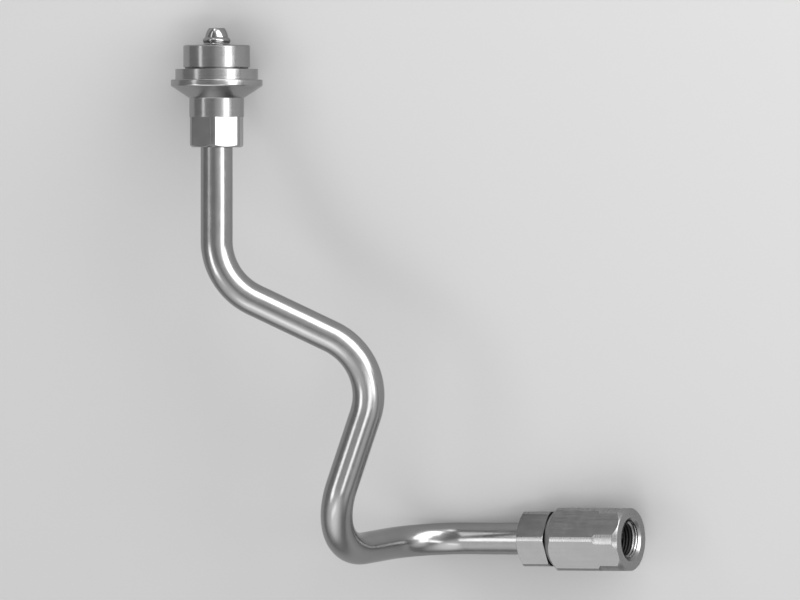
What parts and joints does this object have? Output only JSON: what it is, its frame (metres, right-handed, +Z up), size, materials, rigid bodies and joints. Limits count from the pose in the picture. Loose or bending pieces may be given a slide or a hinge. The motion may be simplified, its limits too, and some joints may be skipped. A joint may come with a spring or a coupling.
{
  "type": "bent tube assembly",
  "caption": "Stainless tube bent out of plane, with a flanged plug head and polished nozzle tip on one end and a compression fitting with a threaded port on the other.",
  "frame": {"origin": "on the floor below the middle of the assembly's box, as it lies at rest", "axes": "+Z up, +Y over the axis of the head towards its tip as seen from above, +X towards the threaded port"},
  "size_m": [0.1864, 0.2548, 0.0693],
  "materials": {
    "tube_steel": "satin drawn tube",
    "turned_steel": "fine turned",
    "polished_steel": "polished",
    "fitting_steel": "satin, milled flats",
    "ferrule_steel": "turned"
  },
  "bodies": {
    "root": {"bent_tube": "tube_steel", "flange_body": "turned_steel", "nozzle_tip": "polished_steel", "port_body": "fitting_steel", "gland_nut": "fitting_steel", "front_ferrule": "ferrule_steel", "back_ferrule": "ferrule_steel"}
  },
  "joints": []
}
